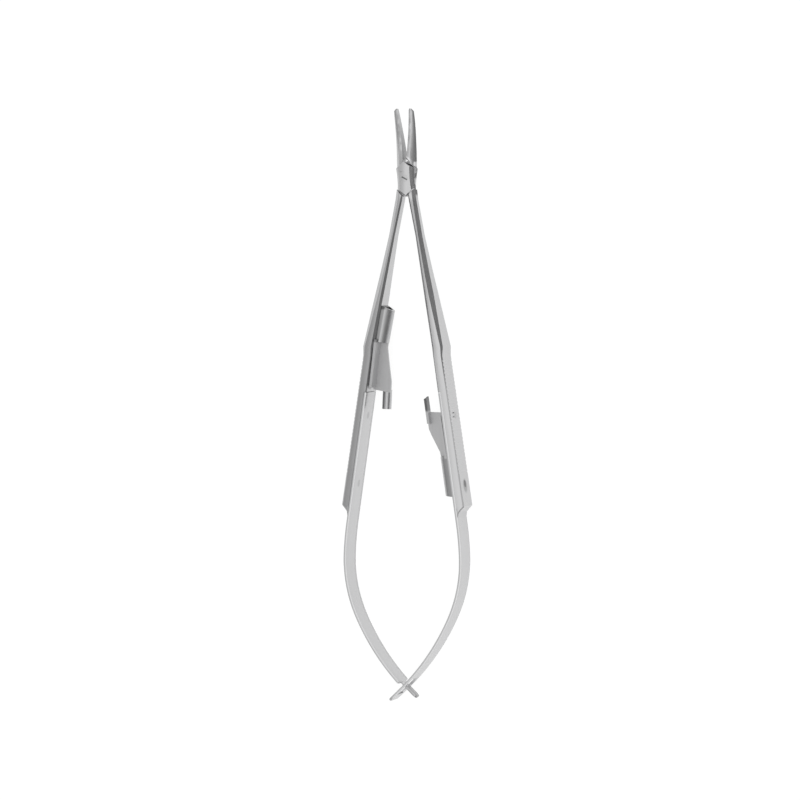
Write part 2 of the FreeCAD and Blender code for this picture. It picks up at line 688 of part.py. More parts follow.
def make_catch(name, placement, kind, plate, rolled):
    """Rounded root, upright strip, flat plate and a hooked tab, all of one folded sheet."""
    body = new_body(name, placement)
    thick = "sheet_thick"

    # rounded root, open at its ends
    sketch = plane_sketch(body, "RootSection", "XZ_Plane", "-%s_root" % kind)
    inside = "(root_radius - sheet_thick)"
    rise = "sqrt(%s ^ 2 - sheet_thick ^ 2)" % inside
    trace(sketch, [("0", "root_radius", "root_radius * 1.0001", True), ("0", "-root_radius")])
    trace(sketch, [(thick, rise, "%s * 1.0001" % inside, True), (thick, "-" + rise)])
    pad(body, sketch, "Root", "%s_root + sheet_thick / 2" % kind)
    sketch = plane_sketch(body, "SlantOutline", "XY_Plane")
    trace(sketch, [
        ("0", "%s_root" % kind), ("root_radius + trim_margin", "%s_root - %s_slant" % (kind, kind)),
        ("root_radius + trim_margin", "%s_root + trim_margin" % kind), ("0", "%s_root + trim_margin" % kind),
    ])
    doc.recompute()
    pocket(body, sketch, "Slant", "(root_radius + trim_margin) * 2", both=True)

    # flat plate and its tab
    sketch = plane_sketch(body, "PlateOutline", "XY_Plane", "plate_top - sheet_thick")
    last = kind + "_" + plate[-1][0] + "_along"
    lean = kind + "_lean"
    outline = [("0 * sheet_thick", "sheet_thick"), (kind + "_fold_reach", "sheet_thick")]
    for row in plate:
        word = kind + "_" + row[0]
        if row[1] > 0:
            outline.append((word + "_reach", "-%s_along" % word))
    if not rolled:
        outline.append((kind + "_tab_to", "-(%s + sheet_thick / 2)" % last))
        outline.append((kind + "_tab_to", "-(%s_tab_end - tab_round)" % kind, "tab_round", True))
        outline.append((kind + "_tab_to - tab_round", "-%s_tab_end" % kind))
        outline.append((kind + "_tab_from", "-%s_tab_end" % kind))
        outline.append((kind + "_tab_from", "-(%s + sheet_thick)" % last))
    outline.append((lean, "-" + last))
    trace(sketch, outline)
    pad(body, sketch, "Plate", thick)

    # upright strip along the face
    sketch = plane_sketch(body, "StripOutline", "XY_Plane", "plate_top - sheet_thick")
    trace(sketch, [
        ("0 * sheet_thick", "sheet_thick / 2"), (thick, "sheet_thick / 2"),
        ("%s + %s" % (lean, thick), "-(%s - sheet_thick)" % last), (lean, "-(%s - sheet_thick)" % last),
    ])
    pad(body, sketch, "Strip", "foot_top - plate_top + sheet_thick")

    if rolled:
        # tab rolled down into a hook
        sketch = plane_sketch(body, "TabSection", "XZ_Plane")
        sketch.AttachmentOffset = FreeCAD.Placement(
            Vector(value(kind + "_tab_middle"), value("plate_top - %s_tab_radius" % kind),
                   value(kind + "_tab_start")),
            FreeCAD.Rotation(Vector(0, 1, 0), value(kind + "_tab_turn")))
        outside = kind + "_tab_radius"
        inside = "(%s_tab_radius - sheet_thick)" % kind
        skirt = "-%s_tab_skirt" % kind
        trace(sketch, [
            ("-" + outside, skirt), ("-" + outside, "0", outside + " * 1.0001", True), (outside, "0"),
            (outside, skirt), (inside, skirt), (inside, "0", inside + " * 1.0001", False),
            ("-" + inside, "0"), ("-" + inside, skirt),
        ])
        pad(body, sketch, "Tab", kind + "_tab_length")
    else:
        # hook along the free edge
        sketch = plane_sketch(body, "LipOutline", "XY_Plane", "plate_top - sheet_thick")
        trace(sketch, [
            (kind + "_tab_to", "-%s_lip_start" % kind),
            (kind + "_tab_to", "-(%s_tab_end - tab_round)" % kind),
            (kind + "_tab_to - sheet_thick", "-(%s_tab_end - tab_round / 2)" % kind),
            (kind + "_tab_to - sheet_thick", "-%s_lip_start" % kind),
        ])
        pad(body, sketch, "Lip", "%s_lip_edge - plate_top + sheet_thick" % kind)
    doc.recompute()
    return body


upper_half = make_half("upper_half", 1, 1)
lower_half = make_half("lower_half", -1, -1)

# rivet holes in the grips, and the pivot bore
pierce(upper_half, 1, ("rivet_front", "rivet_rear"))
pierce(lower_half, -1, ("rivet_front", "rivet_rear"))
bottom = Vector(0, 0, -value("lap_half_depth"))
upward = Vector(0, 0, 1)
bore(upper_half, "PivotBore", Vector(0, 0, 0), upward, "pivot_radius", "lap_half_depth + trim_margin")
bore(lower_half, "PivotBore", bottom, upward, "pivot_radius + pivot_play", "lap_half_depth + trim_margin")
bore(lower_half, "HeadSeat", bottom, upward, "head_radius + pivot_play", "head_height + pivot_play")

# pivot screw, head sunk in the underside of the lower layer
pivot_screw = new_body("pivot_screw", half_placement(1))
shaft = pivot_screw.newObject("PartDesign::AdditiveCylinder", "Shaft")
shaft.Placement = FreeCAD.Placement(bottom, FreeCAD.Rotation())
shaft.setExpression("Radius", bound("pivot_radius"))
shaft.setExpression("Height", bound("lap_half_depth * 2"))
head = pivot_screw.newObject("PartDesign::AdditiveCylinder", "Head")
head.Placement = FreeCAD.Placement(bottom, FreeCAD.Rotation())
head.setExpression("Radius", bound("head_radius"))
head.setExpression("Height", bound("head_height"))
doc.recompute()
driver_slot = plane_sketch(pivot_screw, "DriverSlotOutline", "XY_Plane", "-lap_half_depth")
trace(driver_slot, [
    ("-(head_radius + trim_margin)", "slot_width / 2"), ("head_radius + trim_margin", "slot_width / 2"),
    ("head_radius + trim_margin", "-slot_width / 2"), ("-(head_radius + trim_margin)", "-slot_width / 2"),
])
pocket(pivot_screw, driver_slot, "DriverSlot", "slot_depth", back=True)

# leaf springs and their rivets
left_leaf = make_leaf("left_leaf_spring", -1, "tongue_tail", False)
right_leaf = make_leaf("right_leaf_spring", 1, "slot_tail", True)
pierce(left_leaf, -1, ("rivet_front", "rivet_rear"))
pierce(right_leaf, 1, ("rivet_front", "rivet_rear"))
make_rivet("left_leaf_rivet_front", -1, "rivet_front", False)
make_rivet("left_leaf_rivet_rear", -1, "rivet_rear", False)
make_rivet("right_leaf_rivet_front", 1, "rivet_front", False)
make_rivet("right_leaf_rivet_rear", 1, "rivet_rear", True)

# fixed catch on the right leaf
fixed_place = catch_placement(1, "grip_inner_slope", "fixed_fold", "0 * sheet_thick", True)
fixed_catch = make_catch("fixed_catch", fixed_place, "fixed", FIXED_PLATE, False)
bore(fixed_catch, "PinHole", Vector(-value("sheet_thick"), value("rivet_rear - fixed_fold") / math.cos(
    math.radians(value("grip_inner_slope"))), 0), Vector(1, 0, 0), "rivet_radius", "sheet_thick * 2")

# spring catch on the left shank, free to swing about its rivet
spring_place = catch_placement(-1, "strip_slope", "spring_fold", "spring_gap", False)
spring_catch = make_catch("spring_catch", spring_place, "spring", SPRING_PLATE, True)
bore(spring_catch, "PinHole", Vector(-value("sheet_thick"), value("spring_pin"), 0), Vector(1, 0, 0),
     "rivet_radius + rivet_play", "sheet_thick * 2")
pin_frame = catch_placement(-1, "strip_slope", "spring_fold", "0 * sheet_thick", False)
pin_local = half_placement(-1).inverse().multiply(pin_frame)
pin_start = pin_local.multVec(Vector(0, value("spring_pin"), 0))
pin_axis = pin_local.Rotation.multVec(Vector(1, 0, 0))
bore(lower_half, "SpringPinHole", pin_start, pin_axis * -1, "rivet_radius", "pin_reach")
spring_rivet = new_body("spring_catch_rivet", half_placement(-1))
shaft = spring_rivet.newObject("PartDesign::AdditiveCylinder", "Shaft")
shaft.Placement = FreeCAD.Placement(
    pin_start - pin_axis * value("pin_depth"), FreeCAD.Rotation(Vector(0, 0, 1), pin_axis))
shaft.setExpression("Radius", bound("rivet_radius"))
shaft.setExpression("Height", bound("pin_depth + spring_gap * 2 + sheet_thick"))
head = spring_rivet.newObject("PartDesign::AdditiveCylinder", "Head")
head.Placement = FreeCAD.Placement(
    pin_start + pin_axis * value("spring_gap * 2 + sheet_thick"), FreeCAD.Rotation(Vector(0, 0, 1), pin_axis))
head.setExpression("Radius", bound("rivet_head_radius"))
head.setExpression("Height", bound("rivet_head_height"))
doc.recompute()

for item in doc.Objects:
    if "Invalid" in item.State or "Error" in item.State:
        raise RuntimeError("%s is not in order: %s" % (item.Label, item.State))
for item in doc.Objects:
    if item.TypeId != "PartDesign::Body":
        continue
    shape = item.Shape
    if shape.isNull() or not shape.isValid() or len(shape.Solids) != 1:
        raise RuntimeError(item.Label + " has no sound single solid")
    shape.exportStep("parts/%s.step" % item.Label)
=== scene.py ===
import math

import bpy
import bmesh
from mathutils import Matrix, Vector


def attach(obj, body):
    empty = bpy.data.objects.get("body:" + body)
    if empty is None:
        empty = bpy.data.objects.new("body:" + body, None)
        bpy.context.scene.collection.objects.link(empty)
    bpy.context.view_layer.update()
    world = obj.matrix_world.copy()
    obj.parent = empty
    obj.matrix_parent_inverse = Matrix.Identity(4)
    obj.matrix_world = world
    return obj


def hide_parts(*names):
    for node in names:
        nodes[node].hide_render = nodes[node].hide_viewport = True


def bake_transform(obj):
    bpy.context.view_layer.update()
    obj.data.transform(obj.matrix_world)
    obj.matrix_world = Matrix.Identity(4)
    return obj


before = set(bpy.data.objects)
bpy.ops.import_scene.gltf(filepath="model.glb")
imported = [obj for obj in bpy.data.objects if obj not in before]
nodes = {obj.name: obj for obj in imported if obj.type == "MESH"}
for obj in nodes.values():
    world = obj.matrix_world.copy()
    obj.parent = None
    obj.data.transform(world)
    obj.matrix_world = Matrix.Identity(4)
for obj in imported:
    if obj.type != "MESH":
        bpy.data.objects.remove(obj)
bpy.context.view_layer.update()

# Camera: the instrument is photographed from above, from a little to its right, with a long lens.
# The picture is square, and the instrument fills three quarters of its height.
MM = 0.001
SIDE_TILT = math.radians(16.5)
FRONT_TILT = math.radians(2.0)
CAMERA_FAR = 870 * MM
FIELD_HALF = 94.6 * MM
AIM = Vector((-1.7, 1.0, 4.1)) * MM
SENSOR = 36
NEAREST, FARTHEST = 0.01, 10

camera = bpy.data.objects.new("Camera", bpy.data.cameras.new("Camera"))
bpy.context.collection.objects.link(camera)
toward = Vector((math.sin(SIDE_TILT) * math.cos(FRONT_TILT), math.sin(FRONT_TILT),
                 math.cos(SIDE_TILT) * math.cos(FRONT_TILT)))
right = Vector((0, 1, 0)).cross(toward).normalized()
upward = toward.cross(right)
turn = Matrix((right, upward, toward)).transposed()
camera.matrix_world = Matrix.Translation(AIM + toward * CAMERA_FAR) @ turn.to_4x4()
camera.data.sensor_width = SENSOR
camera.data.lens = SENSOR / 2 * CAMERA_FAR / FIELD_HALF
camera.data.clip_start = NEAREST
camera.data.clip_end = FARTHEST
bpy.context.scene.camera = camera


# Studio: a white table top that the instrument lies on, under a white tent. The tent is brightest
# overhead and dark low down on the right, as the bright and dark bands on the steel show.
class Tree:
    """The node tree of one material or of the world."""

    def __init__(self, owner):
        owner.use_nodes = True
        self.tree = owner.node_tree
        self.tree.nodes.clear()

    def node(self, kind, settings=None, **inputs):
        """Adds a node; an input is given by its name, or by i and its number."""
        made = self.tree.nodes.new(kind)
        for name, setting in (settings or {}).items():
            if name == "stops":
                ramp = made.color_ramp
                while len(ramp.elements) < len(setting):
                    ramp.elements.new(0.5)
                for element, (place, grey) in zip(ramp.elements, setting):
                    element.position = place
                    element.color = (grey, grey, grey, 1)
            else:
                setattr(made, name, setting)
        for name, given in inputs.items():
            numbered = name[0] == "i" and name[1:].isdigit()
            self.feed(made.inputs[int(name[1:]) if numbered else name.replace("_", " ")], given)
        return made

    def feed(self, socket, given):
        if isinstance(given, Value):
            given = given.socket
        if isinstance(given, bpy.types.NodeSocket):
            self.tree.links.new(given, socket)
        else:
            socket.default_value = given

    def value(self, kind, settings=None, **inputs):
        return Value(self, self.node(kind, settings, **inputs).outputs[0])


class Value:
    """A number on a surface. Each operator adds its own Math node."""

    def __init__(self, tree, socket):
        self.tree = tree
        self.socket = socket

    def maths(self, operation, first, second=0.0):
        return self.tree.value("ShaderNodeMath", {"operation": operation}, i0=first, i1=second)

    def __add__(self, other):
        return self.maths("ADD", self, other)

    def __sub__(self, other):
        return self.maths("SUBTRACT", self, other)

    def __mul__(self, other):
        return self.maths("MULTIPLY", self, other)

    def __radd__(self, other):
        return self.maths("ADD", other, self)

    def __rsub__(self, other):
        return self.maths("SUBTRACT", other, self)

    def __rmul__(self, other):
        return self.maths("MULTIPLY", other, self)

    def absolute(self):
        return self.maths("ABSOLUTE", self)

    def at_least(self, other):
        return self.maths("MAXIMUM", self, other)

    def arctan2(self, other):
        return self.maths("ARCTAN2", self, other)

    def power(self, other):
        return self.maths("POWER", self, other)

    def between(self, low, high):
        """0 below low, 1 above high, smooth on the way."""
        return self.tree.value("ShaderNodeMapRange", {"interpolation_type": "SMOOTHSTEP"},
                               Value=self, From_Min=low, From_Max=high)


TABLE_GREY = 0.2
TABLE_GLOW = 0.89
TABLE_SIDE = 4
# grey of the tent by the angle from straight up, in degrees, rightwards from the left side
TENT = [(-180, 0.9), (-95, 0.55), (-60, 0.5), (-37, 0.60), (-17, 0.74), (-4, 1.05), (3, 1.33),
        (20, 1.33), (42, 0.75), (66, 0.2), (110, 0.2), (132, 0.8), (180, 0.9)]

bpy.ops.object.select_all(action="DESELECT")
bpy.ops.mesh.primitive_plane_add(size=TABLE_SIDE, location=(0, 0, 0))
floor = bpy.context.object
floor.name = "floor"
white = bpy.data.materials.new("table_top")
tree = Tree(white)
matt = tree.node("ShaderNodeBsdfDiffuse", Color=(TABLE_GREY, TABLE_GREY, TABLE_GREY, 1))
glow = tree.node("ShaderNodeEmission", Color=(1, 1, 1, 1), Strength=TABLE_GLOW)
both = tree.node("ShaderNodeAddShader", i0=matt.outputs[0], i1=glow.outputs[0])
tree.node("ShaderNodeOutputMaterial", Surface=both.outputs[0])
floor.data.materials.append(white)

world = bpy.data.worlds.new("tent")
bpy.context.scene.world = world
tree = Tree(world)
way = tree.node("ShaderNodeSeparateXYZ", Vector=tree.node("ShaderNodeTexCoord").outputs["Generated"])
rightward = Value(tree, way.outputs["X"])
upward_share = Value(tree, way.outputs["Z"])
around = rightward.arctan2(upward_share) * (0.5 / math.pi) + 0.5
stops = [((angle + 180) / 360, grey) for angle, grey in TENT]
ramp = tree.node("ShaderNodeValToRGB", {"stops": stops}, Fac=around)
tent = tree.node("ShaderNodeBackground", Color=ramp.outputs["Color"], Strength=1.0)
tree.node("ShaderNodeOutputWorld", Surface=tent.outputs[0])

bpy.context.scene.view_settings.view_transform = "Standard"


# Halves: each is forged in one from stainless steel, with a jaw, a layer of the lap joint, a shank and
# a grip with cross grooves, then ground and satin finished along its length, its edges broken by hand.
# The lap and the right jaw are a little crowned. Shade is painted on the gripping faces, from the gap
# between the jaws, and round a rear rivet, and a highlight in front of the lap's shoulder.
PIVOT_AHEAD = 53.3
MID_HEIGHT = 4.1
PIVOT = Vector((0, PIVOT_AHEAD, MID_HEIGHT)) * MM
OPENING = math.radians(4.8)
EDGE_ROUND = 0.09 * MM
UPPER_LAP_TOP = 6.3 * MM
LOWER_LAP_BOTTOM = 1.9 * MM
GRAIN = 5000
GRAIN_DEPTH = 0.004 * MM
GRAIN_STRETCH = 0.03
GRAIN_TONE, GRAIN_ROUGH = 0.05, 0.14
CLOUD_SCALE, CLOUD_ROUGH = 160.0, 0.1
FINE_SCALE, FINE_SHARE = 6000.0, 0.4
SPOT_SINK = 6
UPRIGHT_LIMIT = 1.4
HALF_WAY_UP = 0.95
COOL = 1.008
WELD = 0.002 * MM
FLAT_ENOUGH = math.radians(0.05)
SHARP = math.radians(28)
SMOOTH_BELOW = math.radians(40)
BEVEL_STEPS = 2
FACE_SHARE = 60
LAP_AHEAD, LAP_REACH, LAP_CROWN = 2.4 * MM, 2.2 * MM, 0.1 * MM


def satin(name, grey, rough, grain, depth, blotch=0.04, lean=None, roll=None, ease=None, painted_light=None,
          top_highlight=0.0):
    """Satin stainless steel; the grinding marks run along Y. Four are functions of the place in mm: lean
    tips level faces to the right, roll turns upright faces on the right half way up, ease turns the edges
    between the two, upwards where it is below 0; spots paints shade, or a highlight where it is below 0.
    rim paints a highlight on faces turned upwards."""
    paint = bpy.data.materials.new(name)
    tree = Tree(paint)
    place = tree.node("ShaderNodeTexCoord").outputs["Object"]
    along = tree.node("ShaderNodeMapping", Vector=place, Scale=(grain, grain * GRAIN_STRETCH, grain))
    marks = tree.value("ShaderNodeTexNoise", Vector=along.outputs[0], Scale=1.0, Detail=4.0,
                       Roughness=0.6)
    cloud = tree.value("ShaderNodeTexNoise", Vector=place, Scale=CLOUD_SCALE, Detail=3.0)
    fine = tree.value("ShaderNodeTexNoise", Vector=place, Scale=FINE_SCALE, Detail=2.0)
    facing = tree.node("ShaderNodeNewGeometry").outputs["Normal"]
    tone = (cloud - 0.5) * blotch + (marks - 0.5) * GRAIN_TONE + grey
    height = marks + fine * FINE_SHARE
    parts = tree.node("ShaderNodeSeparateXYZ", Vector=place)
    axes = [Value(tree, parts.outputs[axis]) * (1 / MM) for axis in "XYZ"]
    # painted shade, or a painted highlight where the mask is below 0
    if painted_light:
        shade = painted_light(*axes)
        tone = tone * (1 - shade)
        height = height - shade * SPOT_SINK
    outward = tree.node("ShaderNodeSeparateXYZ", Vector=facing)
    side_on = Value(tree, outward.outputs["X"]).at_least(0.0)
    level = Value(tree, outward.outputs["Z"]).at_least(0.0)
    # painted highlight, stronger the more a face turns upwards
    if top_highlight:
        tone = tone + level * top_highlight
    if lean:
        aside = lean(*axes) * level
        if ease:
            aside = aside + ease(*axes) * side_on * side_on * level
        upright = side_on * (1 - level * UPRIGHT_LIMIT).at_least(0.0)
        push = tree.node("ShaderNodeCombineXYZ", X=aside, Z=roll(*axes) * upright * HALF_WAY_UP)
        tilted = tree.node("ShaderNodeVectorMath", {"operation": "ADD"}, i0=facing, i1=push.outputs[0])
        unit = tree.node("ShaderNodeVectorMath", {"operation": "NORMALIZE"}, i0=tilted.outputs[0])
        facing = unit.outputs[0]
    colour = tree.node("ShaderNodeCombineColor", Red=tone, Green=tone, Blue=tone * COOL)
    roughness = (marks - 0.5) * GRAIN_ROUGH + (cloud - 0.5) * CLOUD_ROUGH + rough
    bump = tree.node("ShaderNodeBump", Strength=1.0, Distance=depth, Height=height, Normal=facing)
    steel = tree.node("ShaderNodeBsdfPrincipled", Base_Color=colour.outputs[0], Metallic=1.0,
                      Roughness=roughness, Normal=bump.outputs["Normal"])
    tree.node("ShaderNodeOutputMaterial", Surface=steel.outputs[0])
    return paint


def from_face(side, x, y):
    """How far a place lies from the gripping face of the half whose jaw is on that side, in mm."""
    return (x * math.cos(OPENING) + (y - PIVOT_AHEAD) * (-side * math.sin(OPENING))) * side


def left_jaw_lean(x, y, z):
    """The lap is crowned towards the right."""
    return y.between(47.5, 49.5) * (1 - y.between(56.0, 59.0)) * x.between(-1.0, 0.6) * 0.18


def left_jaw_roll(x, y, z):
    """The right edge of the lap is rounded off."""
    return y.between(48.0, 50.0) * (1 - y.between(57.5, 58.5)) * x.between(0.8, 1.2)


def left_jaw_ease(x, y, z):
    """The slanting edge of the right grip runs out into the face towards its end."""
    return x.between(4.0, 5.0) * (1 - y.between(2.0, 16.0)) * -0.95


def left_jaw_shade(x, y, z):
    """The gripping face is painted darker with shade from the narrow gap between the jaws, most at its
    rear. Shade as of a countersink is painted round the filed rear rivet's end, and sunk into the bump.
    """
    fading = y.between(57.0, 58.0) * (1 - y.between(60.0, 69.0) * 0.7)
    face = (1 - from_face(-1, x, y).between(0.02, 0.14)) * fading
    off_rivet = ((y + 19.0) * (y + 19.0) + (z - MID_HEIGHT) * (z - MID_HEIGHT)).power(0.5)
    return face * 0.5 + (1 - off_rivet.between(1.1, 2.0)) * x.between(12.9, 13.3) * 0.4


def right_jaw_lean(x, y, z):
    """The right jaw is crowned towards its back."""
    return y.between(55.5, 57.5) * from_face(1, x, y).between(0.1, 0.9) * 0.16


def glint_band(x, y):
    """A slanting band just in front of the lap's shoulder, where a highlight is painted."""
    ahead = x * 0.69 + y
    return ahead.between(57.5, 57.9) * (1 - ahead.between(58.4, 59.1))


def right_jaw_highlight(x, y, z):
    """A highlight is painted on the band: it is brighter than the rest."""
    return glint_band(x, y) * z.between(4.6, 5.4) * -0.5


def right_jaw_roll(x, y, z):
    """The back of the right jaw is rounded off, but not in the band of the painted highlight."""
    return y.between(52.0, 54.0) * (1 - glint_band(x, y))


def right_jaw_ease(x, y, z):
    """The upper edge of the right jaw's back runs out into its crowned face."""
    return y.between(56.0, 57.0) * -0.9


def pick(item, kind, wanted):
    """Selects, in edit mode, the vertices, edges or faces whose middle passes a test."""
    bpy.ops.mesh.select_all(action="DESELECT")
    bpy.ops.mesh.select_mode(type=kind)
    shape = bmesh.from_edit_mesh(item.data)
    for part in {"VERT": shape.verts, "EDGE": shape.edges, "FACE": shape.faces}[kind]:
        corners = [part] if kind == "VERT" else part.verts
        if wanted(sum((vert.co for vert in corners), Vector()) / len(corners)):
            part.select_set(True)
    bmesh.update_edit_mesh(item.data)


def soften(name, node, body, paint, lap_face=None):
    """The metal of a CAD node, welded, with all sharp edges broken, and a lap's outer face ground flat."""
    bpy.ops.object.select_all(action="DESELECT")
    item = nodes[node].copy()
    item.data = nodes[node].data.copy()
    item.name = name
    bpy.context.collection.objects.link(item)
    bpy.context.view_layer.objects.active = item
    item.select_set(True)
    bpy.ops.object.mode_set(mode="EDIT")
    bpy.ops.mesh.select_all(action="SELECT")
    bpy.ops.mesh.remove_doubles(threshold=WELD)
    bpy.ops.mesh.dissolve_limited(angle_limit=FLAT_ENOUGH)
    bpy.ops.mesh.normals_make_consistent(inside=False)
    if lap_face:
        ahead = PIVOT.xy + Vector((0, LAP_AHEAD))
        pick(item, "VERT", lambda spot: (
            abs(spot.z - lap_face) < LAP_CROWN and (spot.xy - ahead).length < LAP_REACH))
        bpy.ops.transform.resize(value=(1, 1, 0), center_override=(0, 0, lap_face))
    bpy.ops.object.mode_set(mode="OBJECT")
    soft = item.modifiers.new("soft", "BEVEL")
    soft.width = EDGE_ROUND
    soft.segments = BEVEL_STEPS
    soft.limit_method = "ANGLE"
    soft.angle_limit = SHARP
    bpy.ops.object.modifier_apply(modifier="soft")
    bpy.ops.object.shade_smooth_by_angle(angle=SMOOTH_BELOW)
    even = item.modifiers.new("even", "WEIGHTED_NORMAL")
    even.keep_sharp = True
    even.weight = FACE_SHARE
    bpy.ops.object.modifier_apply(modifier="even")
    item.data.materials.clear()
    item.data.materials.append(paint)
    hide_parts(node)
    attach(item, body)


left_steel = satin("ground_steel_left", 0.50, 0.30, GRAIN, GRAIN_DEPTH, lean=left_jaw_lean,
                   roll=left_jaw_roll, ease=left_jaw_ease, painted_light=left_jaw_shade)
right_steel = satin("ground_steel_right", 0.50, 0.30, GRAIN, GRAIN_DEPTH, lean=right_jaw_lean,
                    roll=right_jaw_roll, ease=right_jaw_ease, painted_light=right_jaw_highlight)
soften("half_with_left_jaw", "upper_half", "frame_half", left_steel, UPPER_LAP_TOP)
soften("half_with_right_jaw", "lower_half", "moving_half", right_steel, LOWER_LAP_BOTTOM)


# Screw and rivets: turned stainless pins, filed flush and a shade darker than the steel round them. The
# screw has a short driver slot in its upper end, bumped in with painted shade. The rear rivet of the right
# leaf sits a little deep, and shade is painted on its end.
SLOT_TURN = math.radians(-26.6)
TURNED_GRAIN = 3000


def screw_slot_shade(x, y, z):
    """The driver slot in the screw's upper end: bumped in, with shade painted in it."""
    ahead = y - PIVOT_AHEAD
    along = (x * math.cos(SLOT_TURN) + ahead * math.sin(SLOT_TURN)).absolute()
    across = (ahead * math.cos(SLOT_TURN) - x * math.sin(SLOT_TURN)).absolute()
    return (1 - along.between(0.65, 0.85)) * (1 - across.between(0.1, 0.22)) * z.between(6.1, 6.2) * 0.7


def rivet_end_shade(x, y, z):
    """The outer end of the rear rivet on the right, painted darker with shade."""
    return x.between(13.2, 13.6) * 0.75


def dress(node, paint):
    """A CAD node keeps its mesh and gets a finish."""
    item = nodes[node]
    if not item.material_slots:
        item.data.materials.append(paint)
    for slot in item.material_slots:
        slot.material = paint


pin = satin("pin_steel", 0.44, 0.34, TURNED_GRAIN, GRAIN_DEPTH)
screw = satin("screw_steel", 0.48, 0.34, TURNED_GRAIN, GRAIN_DEPTH, lean=left_jaw_lean,
              roll=left_jaw_roll, painted_light=screw_slot_shade)
sunk = satin("sunk_pin_steel", 0.44, 0.34, TURNED_GRAIN, GRAIN_DEPTH, painted_light=rivet_end_shade)
dress("pivot_screw", screw)
dress("right_leaf_rivet_rear", sunk)
for rivet in ("left_leaf_rivet_front", "left_leaf_rivet_rear", "right_leaf_rivet_front",
              "spring_catch_rivet"):
    dress(rivet, pin)


# Catches: two pieces folded from stainless sheet, pressed and tumbled, so duller than the ground halves.
# The right one is held by the leaf's rear rivet and has a narrow tab. The left one flexes about its own
# rivet, and its tab is rolled into a channel.
# Shade is painted on the right catch's narrow tab, and on the flank and mouth of the left one's rolled
# tab.
SHEET_GRAIN = 2500
SHEET_GRAIN_DEPTH = 0.005 * MM
SHEET_BLOTCH = 0.08


def tab_shade(x, y, z):
    """The narrow tab is painted darker with shade."""
    return (1 - x.between(5.4, 6.8)) * y.between(-1.9, -1.2) * 0.7


def flank_shade(x, y, z):
    """Shade is painted on the left flank of the rolled tab, and more on its mouth."""
    over = x - (y - 17.6) * 0.188
    flank = (1 - over.between(-5.9, -5.5)) * y.between(14.5, 14.9) * 0.45
    mouth = (1 - over.between(-5.6, -5.0)) * y.between(22.2, 22.7) * 0.35
    return flank + mouth


pressed = satin("pressed_steel", 0.50, 0.36, SHEET_GRAIN, SHEET_GRAIN_DEPTH, SHEET_BLOTCH,
                painted_light=flank_shade)
tab_shaded_steel = satin("pressed_steel_tab_shade", 0.50, 0.36, SHEET_GRAIN, SHEET_GRAIN_DEPTH, SHEET_BLOTCH,
             painted_light=tab_shade)
soften("catch_on_leaf", "fixed_catch", "frame_half", tab_shaded_steel)
soften("catch_that_flexes", "spring_catch", "catch_plate", pressed)


# Leaf springs: rolled spring strip, bent to a bow and riveted into a recess of the grip. The two cross at
# the rear, where the left one ends in a tongue and the right one in a frame with a slot for it. Both
# narrow towards the rear, and the frame has rounded corners.
# Shade is painted on the left leaf's tongue behind the slot.
SLOPE = math.radians(3.27)
LEAF_START = 51.0
FLARE_BACK, FLARE_ACROSS = 40.3, 3.93
HALF_SHEET = 0.3
START_ACROSS = FLARE_ACROSS + (LEAF_START - FLARE_BACK) * math.tan(SLOPE) + HALF_SHEET / math.cos(SLOPE)
SHEET = 0.58 * MM
HALF_DEPTH = 4.0 * MM
RUN = 31.4 * MM
BENDS = ((71.0, 6.0, 6), (33.0, 26.0, 20), (55.0, 22.0, 24))  # radius in mm, sweep in degrees, steps
TAPER_FROM, TAPER_TO, TAPER_DROP = 80.0, 117.0, 0.3
TONGUE = 3.2
SLOT_FROM, SLOT_TO = 4.85, 1.35
SHOULDER_OUT = 3
SHOULDER_ROUND = 1.7 * MM
CORNER_STEPS = 6
CLOSE = 0.05
STRIP_SHARP = math.radians(50)
STRIP_GRAIN = 4000
STRIP_GRAIN_DEPTH = 0.003 * MM
# painted highlight on the leaves' faces that turn upwards
STRIP_TOP_HIGHLIGHT = 0.13


def tongue_shade(x, y, z):
    """The tongue behind the slot is painted darker with shade."""
    return x.between(0.2, 0.9) * (1 - y.between(-64.0, -62.0)) * 0.35


def shut_to_rest(side, across, back):
    """A point of the half drawn shut, turned to where it lies at rest."""
    return PIVOT + Vector((
        side * (across * math.cos(OPENING) + back * math.sin(OPENING)),
        across * math.sin(OPENING) - back * math.cos(OPENING), 0)) * MM


def behind(side, spot):
    """How far behind the pivot a resting point lies, in mm, measured along its own half."""
    flat = (spot - PIVOT) / MM
    return side * flat.x * math.sin(OPENING) - flat.y * math.cos(OPENING)


